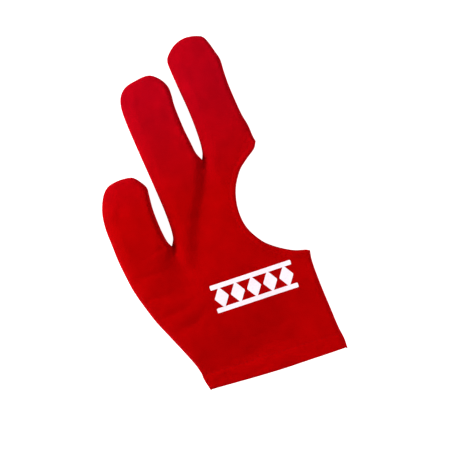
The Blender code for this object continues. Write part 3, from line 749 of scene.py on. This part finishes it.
def add_side(mesh, glove, plan, faces, is_back, is_hem):
    """The outer skin of the back or the palm, down to its turn into the seam."""
    used = np.unique(faces)
    here = plan[used]
    up, reach = (-1.0, BACK_ROUND) if is_back else (1.0, PALM_ROUND)
    rise = glove.top - glove.seam if is_back else glove.seam
    heights = glove.back_height(here, is_hem) if is_back else glove.palm_height(here, is_hem)
    steps = glove.wall_steps(here, reach, up, is_hem)
    weave = glove.unrolled(here, reach, rise)
    away, inward, _ = glove.survey(here, glove.seams)
    points = np.zeros((len(plan), 3))
    points[used] = np.column_stack([glove.back_plan(here) if is_back else here, heights])
    skin, corners = add_skin(mesh, points, faces)
    step_layer, weave_layer, inward_layer = skin_layers(mesh)
    for row, number in enumerate(used):
        vert = corners[number]
        vert[step_layer] = steps[row]
        vert[weave_layer] = (*weave[row], 0.0)
        if away[row] < ON_SEAM:
            vert[inward_layer] = (*inward[row], 0.0)
    if not is_back:
        bmesh.ops.reverse_faces(mesh, faces=skin)
    add_turn(mesh, up)


def add_turn(mesh, up):
    """Rolls the cloth's seam edge inwards, row by row, down to the seam itself."""
    step_layer, weave_layer, inward_layer = skin_layers(mesh)
    edges = []
    for edge in mesh.edges:
        if edge.is_boundary and all(vert[inward_layer].length > 0.5 for vert in edge.verts):
            edges.append(edge)
    last_angle = 0.0
    for angle in LIP_ANGLES:
        grown = bmesh.ops.extrude_edge_only(mesh, edges=edges)["geom"]
        row = {item for item in grown if isinstance(item, bmesh.types.BMVert)}
        in_by = SEAM_ROLL * (math.cos(last_angle) - math.cos(angle))
        down_by = SEAM_ROLL * (math.sin(angle) - math.sin(last_angle)) * up
        for vert in row:
            inward = vert[inward_layer].copy()
            vert.co += inward * in_by + Vector((0.0, 0.0, down_by))
            turned = inward * math.cos(angle) + Vector((0.0, 0.0, -up * math.sin(angle)))
            vert[step_layer] = turned * vert[step_layer].length
            vert[weave_layer] -= inward * SEAM_ROLL * (angle - last_angle)
        edges = []
        for item in grown:
            if isinstance(item, bmesh.types.BMEdge) and row.issuperset(item.verts):
                edges.append(item)
        last_angle = angle


def add_wall(mesh):
    """Thickens an open skin inwards: a turned copy, one wall step in, joined at the edges."""
    step_layer, _, _ = skin_layers(mesh)
    rims = [edge for edge in mesh.edges if edge.is_boundary]
    copied = bmesh.ops.duplicate(mesh, geom=[*mesh.verts, *mesh.edges, *mesh.faces])
    inner = copied["vert_map"]
    for item in copied["geom"]:
        if isinstance(item, bmesh.types.BMVert):
            item.co += item[step_layer]
    for edge in rims:
        loop = edge.link_loops[0]
        start, end = loop.vert, loop.link_loop_next.vert
        mesh.faces.new([end, start, inner[start], inner[end]])
    lining = [item for item in copied["geom"] if isinstance(item, bmesh.types.BMFace)]
    bmesh.ops.reverse_faces(mesh, faces=lining)


def write_weave(mesh):
    """Puts each corner's unrolled place, in millimetres, into the UV map."""
    _, weave_layer, _ = skin_layers(mesh)
    uv_layer = mesh.loops.layers.uv.new("weave_mm")
    for face in mesh.faces:
        for corner in face.loops:
            place = corner.vert[weave_layer]
            corner[uv_layer].uv = (place[0] / MM, place[1] / MM)


def add_to_scene(name, data):
    obj = bpy.data.objects.new(name, data)
    bpy.context.scene.collection.objects.link(obj)
    return obj


def add_object(name, mesh, middle, material):
    bmesh.ops.translate(mesh, verts=mesh.verts, vec=(-middle[0], -middle[1], 0.0))
    data = bpy.data.meshes.new(name)
    mesh.to_mesh(data)
    mesh.free()
    data.materials.append(material)
    data.shade_smooth()
    data.set_sharp_from_angle(angle=SHARP_ANGLE)
    return add_to_scene(name, data)


def make_cloth(name, glove, plan, faces, sides, is_hem, material):
    """A piece of cloth on the given sides, each its own closed layer."""
    whole = bmesh.new()
    for is_back in sides:
        side = new_skin_mesh()
        add_side(side, glove, plan, faces, is_back, is_hem)
        add_wall(side)
        write_weave(side)
        data = bpy.data.meshes.new(name + "_side")
        side.to_mesh(data)
        side.free()
        whole.from_mesh(data)
        bpy.data.meshes.remove(data)
    return add_object(name, whole, glove.middle, material)


def print_shapes():
    """The ornament's bars and lozenges as closed loops round its own middle."""
    half_width, half_height = PRINT_WIDTH / 2.0, PRINT_HEIGHT / 2.0
    shapes = []
    for low in (-half_height, half_height - PRINT_RULE):
        high = low + PRINT_RULE
        shapes.append([(-half_width, low), (half_width, low), (half_width, high), (-half_width, high)])
    tip = half_height - PRINT_RULE + LOZENGE_ROOT
    pitch = PRINT_WIDTH / LOZENGE_COUNT
    for i in range(LOZENGE_COUNT):
        x = (i + 0.5) * pitch - half_width
        side = LOZENGE_WIDTH / 2.0
        shapes.append([(x - side, 0.0), (x, -tip), (x + side, 0.0), (x, tip)])
    cos, sin = math.cos(PRINT_TILT), math.sin(PRINT_TILT)
    return [
        [Vector((PRINT_X + x * cos - y * sin, PRINT_Y + x * sin + y * cos)) for x, y in shape]
        for shape in shapes
    ]


def rounded_loop(corners, radius, step):
    """A closed loop of straight sides, with its corners cut to short curves."""
    points = []
    for i, corner in enumerate(corners):
        before = (corners[i - 1] - corner).normalized()
        after = (corners[(i + 1) % len(corners)] - corner).normalized()
        start, end = corner + before * radius, corner + after * radius
        leave, arrive = start.lerp(corner, CORNER_PULL), end.lerp(corner, CORNER_PULL)
        points.extend(interpolate_bezier(start, leave, arrive, end, CORNER_POINTS))
    loop = []
    for i, point in enumerate(points):
        following = points[(i + 1) % len(points)]
        side = straight_run(Vector(point[:2]), Vector(following[:2]), step)
        loop.extend(side[:-1])
    return np.array(loop)


def make_print(name, glove, material):
    """The ornament as a thin film of ink on the back, following its folds."""
    loops = [rounded_loop(shape, PRINT_CORNER, PRINT_STEP) for shape in print_shapes()]
    borders = [np.concatenate([loop, loop[:1]]) for loop in loops]
    field = field_points(np.concatenate(loops), PRINT_STEP)
    field = field[np.any([inside_loop(field, loop) for loop in loops], axis=0)]
    field = field[distance_to(field, borders) > PRINT_CLEARANCE]
    plan, faces = triangulate(field, borders)
    centres = plan[faces].mean(axis=1)
    faces = faces[np.any([inside_loop(centres, loop) for loop in loops], axis=0)]
    heights = glove.back_height(plan) + PRINT_LIFT + PRINT_LAYER
    mesh = new_skin_mesh()
    _, corners = add_skin(mesh, np.column_stack([plan, heights]), faces)
    step_layer, weave_layer, _ = skin_layers(mesh)
    for number, vert in corners.items():
        vert[step_layer] = (0.0, 0.0, -PRINT_LAYER)
        vert[weave_layer] = (*plan[number], 0.0)
    add_wall(mesh)
    write_weave(mesh)
    return add_object(name, mesh, glove.middle, material)


def stitch_places(line, glove):
    """The course of each stitch along a line, with the spare length shared by both ends."""
    lengths = np.concatenate([[0.0], np.cumsum(np.linalg.norm(np.diff(line, axis=0), axis=1))])
    inside = inside_loop(line, glove.loop) & (distance_to(line, glove.seams) > SEAM_ROLL)
    first, last = lengths[inside].min(), lengths[inside].max()
    count = int((last - first) / STITCH_PITCH)
    spare = (last - first - count * STITCH_PITCH + STITCH_PITCH - STITCH_LENGTH) / 2.0
    places = []
    for i in range(count):
        start = first + spare + i * STITCH_PITCH
        steps = np.linspace(start, start + STITCH_LENGTH, STITCH_POINTS)
        x = np.interp(steps, lengths, line[:, 0])
        y = np.interp(steps, lengths, line[:, 1])
        places.append(np.column_stack([x, y]))
    return places


def add_thread(mesh, path):
    """A closed tube of thread along a path of points."""
    rings = []
    for i, point in enumerate(path):
        along = (path[min(i + 1, len(path) - 1)] - path[max(i - 1, 0)]).normalized()
        across = along.cross(Vector((0.0, 0.0, 1.0))).normalized()
        over = across.cross(along)
        ring = []
        for k in range(THREAD_SIDES):
            angle = 2.0 * math.pi * k / THREAD_SIDES
            outwards = across * math.cos(angle) + over * math.sin(angle)
            ring.append(mesh.verts.new(point + outwards * THREAD_RADIUS))
        rings.append(ring)
    for low, high in zip(rings[:-1], rings[1:]):
        for k in range(THREAD_SIDES):
            mesh.faces.new([low[k - 1], low[k], high[k], high[k - 1]])
    mesh.faces.new(rings[0])
    mesh.faces.new(reversed(rings[-1]))


def make_stitches(name, glove, line, material):
    """A row of thread stitches on both sides, each diving into the cloth at its ends."""
    mesh = bmesh.new()
    arch = np.sqrt(np.sin(np.linspace(0.0, math.pi, STITCH_POINTS)))
    lift = (arch * THREAD_RISE - THREAD_SUNK) * THREAD_RADIUS
    for is_back in (True, False):
        for places in stitch_places(line, glove):
            if is_back:
                plan, heights = glove.back_plan(places), glove.back_height(places) + lift
            else:
                plan, heights = places, np.maximum(glove.palm_height(places) - lift, THREAD_RADIUS)
            path = [Vector((*place, height)) for place, height in zip(plan, heights)]
            add_thread(mesh, path)
    bmesh.ops.recalc_face_normals(mesh, faces=mesh.faces)
    return add_object(name, mesh, glove.middle, material)


class Nodes:
    """Short calls to add and fill the shader nodes of a material or a world."""

    def __init__(self, owner, shader="Principled BSDF"):
        owner.use_nodes = True
        self.owner = owner
        self.tree = owner.node_tree
        self.shader = self.tree.nodes[shader]

    def fill(self, node, values):
        """Joins an output, or sets a plain value, on each input named."""
        for name, value in values.items():
            if isinstance(value, bpy.types.NodeSocket):
                self.tree.links.new(value, node.inputs[name])
            else:
                node.inputs[name].default_value = value

    def add(self, kind, values, **settings):
        node = self.tree.nodes.new("ShaderNode" + kind)
        for key, value in settings.items():
            setattr(node, key, value)
        self.fill(node, values)
        return node

    def surface(self, values):
        """Fills the shader itself and gives the material or world."""
        self.fill(self.shader, values)
        return self.owner

    def weave(self):
        return self.add("UVMap", {}, uv_map="weave_mm").outputs["UV"]

    def split(self, vector):
        return self.add("SeparateXYZ", {0: vector}).outputs

    def math(self, operation, *values):
        return self.add("Math", dict(enumerate(values)), operation=operation).outputs[0]

    def noise(self, vector, scale, detail):
        values = {"Vector": vector, "Scale": scale, "Detail": detail}
        return self.add("TexNoise", values).outputs["Fac"]

    def bumps(self, height, strength, distance):
        values = {"Height": height, "Strength": strength, "Distance": distance}
        return self.add("Bump", values).outputs["Normal"]

    def ramp(self, factor, *stops):
        """Colours over a factor, from two or three stops of a position and a colour."""
        node = self.add("ValToRGB", {"Fac": factor})
        elements = node.color_ramp.elements
        for _ in stops[2:]:
            elements.new(0.5)
        for element, (position, colour) in zip(elements, stops):
            element.position = position
            element.color = (*colour, 1.0)
        return node.outputs["Color"]


def stitch_height(nodes, place):
    """Height of a plain knit's V-shaped loops, 0 to 1, over a place in millimetres."""
    calc = nodes.math
    scale, size = LOOP_DRIFT
    drift = calc("MULTIPLY", calc("SUBTRACT", nodes.noise(place, scale, 2.0), 0.5), size)
    split = nodes.split(place)
    across = calc("DIVIDE", calc("ADD", split["X"], drift), WALE_WIDTH)
    along = calc("DIVIDE", calc("ADD", split["Y"], drift), COURSE_HEIGHT)
    from_middle = calc("ABSOLUTE", calc("SUBTRACT", calc("FRACT", across), 0.5))
    leaned = calc("SUBTRACT", along, calc("MULTIPLY", from_middle, 2.0 * LOOP_SLANT))
    leg = calc("ABSOLUTE", calc("SINE", calc("MULTIPLY", leaned, math.pi)))
    wale = calc("ABSOLUTE", calc("SINE", calc("MULTIPLY", from_middle, 2.0 * math.pi)))
    return calc("MULTIPLY", calc("POWER", leg, LEG_SOFTNESS), calc("POWER", wale, WALE_SOFTNESS))


def make_knit(name, colours):
    """Stretch jersey: V-shaped loops with painted shade between them, a soft fuzz, a slight unevenness
    of the dye, and a painted cool tint of reflected light towards the fingertips.
    """
    nodes = Nodes(bpy.data.materials.new(name))
    calc = nodes.math
    place = nodes.weave()
    height = stitch_height(nodes, place)
    patches = nodes.noise(place, *PATCHES[:2])
    fibres = nodes.noise(place, *FIBRES[:2])
    # The loops' height darkens the red between them: painted shade in the knit's gaps.
    tone = calc("ADD", calc("MULTIPLY", height, LOOP_SHADE_SHARE), calc("MULTIPLY", patches, PATCHES[2]))
    tone = calc("ADD", tone, calc("MULTIPLY", fibres, FIBRES[2]))
    # A painted sheen: a cool tint of reflected white light, stronger towards the fingertips.
    start, length = PAINTED_SHEEN_FROM
    share = calc("DIVIDE", calc("SUBTRACT", nodes.split(place)["Y"], start), length)
    share = calc("MINIMUM", calc("MAXIMUM", share, 0.0), 1.0)
    values = {"Factor": share, "A": nodes.ramp(tone, *zip(TONE_RANGE, colours)), "B": PAINTED_SHEEN_TINT}
    sheen_tinted = nodes.add("Mix", values, data_type="RGBA", blend_type="ADD")
    fuzz = calc("MULTIPLY", fibres, FIBRE_HEIGHT)
    bumps = nodes.bumps(calc("ADD", height, fuzz), 1.0, KNIT_DEPTH)
    return nodes.surface({"Base Color": sheen_tinted.outputs["Result"], "Normal": bumps, **KNIT_SURFACE})


def make_thread(name):
    """Sewing thread, with the fine twist of its plies."""
    nodes = Nodes(bpy.data.materials.new(name))
    values = {"Vector": nodes.add("TexCoord", {}).outputs["Object"], "Scale": THREAD_TWIST}
    twist = nodes.add("TexWave", values, wave_type="BANDS", bands_direction="DIAGONAL")
    bumps = nodes.bumps(twist.outputs["Fac"], *THREAD_BUMPS)
    return nodes.surface({"Normal": bumps, **THREAD_SURFACE})


def make_ink(name):
    """White screen ink, with the knit showing softly through it."""
    nodes = Nodes(bpy.data.materials.new(name))
    place = nodes.weave()
    height = stitch_height(nodes, place)
    parts = zip((height, nodes.noise(place, *INK_COVER)), INK_TONE)
    tone = nodes.math("ADD", *[nodes.math("MULTIPLY", part, share) for part, share in parts])
    colour = nodes.ramp(tone, *zip(INK_RANGE, INK_WHITE))
    bumps = nodes.bumps(height, *INK_BUMPS)
    return nodes.surface({"Base Color": colour, "Normal": bumps, **INK_SURFACE})


def make_floor():
    """A near-white table that is seen but casts no light on the glove."""
    white = Nodes(bpy.data.materials.new("floor_white")).surface(FLOOR_SURFACE)
    mesh = bmesh.new()
    bmesh.ops.create_grid(mesh, x_segments=1, y_segments=1, size=FLOOR_SIZE / 2.0)
    floor = add_object("floor", mesh, (0.0, 0.0), white)
    floor.visible_diffuse = False
    floor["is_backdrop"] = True


def make_light(name, place, size, power):
    """A round light at a place, turned to the glove's middle."""
    data = bpy.data.lights.new(name, "AREA")
    data.shape = "DISK"
    data.size = size
    data.energy = power
    light = add_to_scene(name, data)
    light.location = place
    light.rotation_euler = (-Vector(place)).to_track_quat("-Z", "Y").to_euler()


def make_lights():
    """A soft key from the left, a weak fill from the right and a white room all round."""
    make_light("key", *KEY_LIGHT)
    make_light("fill", *FILL_LIGHT)
    nodes = Nodes(bpy.data.worlds.new("studio"), "Background")
    up = nodes.split(nodes.add("TexCoord", {}).outputs["Generated"])["Z"]
    stops = [(place, (grey, grey, grey)) for place, grey in ROOM_GREYS]
    colour = nodes.ramp(nodes.math("MULTIPLY_ADD", up, 0.5, 0.5), *stops)
    bpy.context.scene.world = nodes.surface({"Color": colour})


def make_camera(glove_height):
    data = bpy.data.cameras.new("camera")
    data.lens = CAMERA_LENS
    data.sensor_width = CAMERA_SENSOR
    camera = add_to_scene("camera", data)
    above = PHOTO_SPAN * CAMERA_LENS / CAMERA_SENSOR
    camera.location = (*PHOTO_CENTRE, above + glove_height / 2.0)
    camera.rotation_euler = (0.0, 0.0, PHOTO_TURN)
    bpy.context.scene.camera = camera


def dress(piece, slot, *nodes):
    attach(piece, "root")
    if nodes:
        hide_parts(*nodes)


def main():
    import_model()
    low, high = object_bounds()
    glove = Glove()
    plan, pieces = glove.cut_plan()
    knit = make_knit("red_jersey", KNIT_RED)
    hem_knit = make_knit("red_hem_jersey", HEM_RED)
    thread = make_thread("red_thread")
    ink = make_ink("white_ink")
    both = (True, False)
    back = make_cloth("back_cloth", glove, plan, pieces["panel"], (True,), False, knit)
    palm = make_cloth("palm_cloth", glove, plan, pieces["panel"], (False,), False, knit)
    wrist = make_cloth("wrist_hem_cloth", glove, plan, pieces["wrist_hem"], both, True, hem_knit)
    edge = make_cloth("opening_hem_cloth", glove, plan, pieces["opening_hem"], both, True, hem_knit)
    ornament = make_print("print_ink", glove, ink)
    wrist_thread = make_stitches("wrist_stitches", glove, glove.wrist_stitching, thread)
    edge_thread = make_stitches("opening_stitches", glove, glove.opening_stitching, thread)
    dress(back, "red_knit", "back_panel")
    dress(palm, "red_knit", "palm_panel")
    dress(wrist, "red_hem", "wrist_hem")
    dress(edge, "red_hem", "opening_hem")
    dress(ornament, "white_print", "back_print")
    dress(wrist_thread, "red_hem")
    dress(edge_thread, "red_hem")
    make_floor()
    make_lights()
    make_camera(high.z)
    bpy.context.scene.view_settings.view_transform = "Standard"
    low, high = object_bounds()


main()
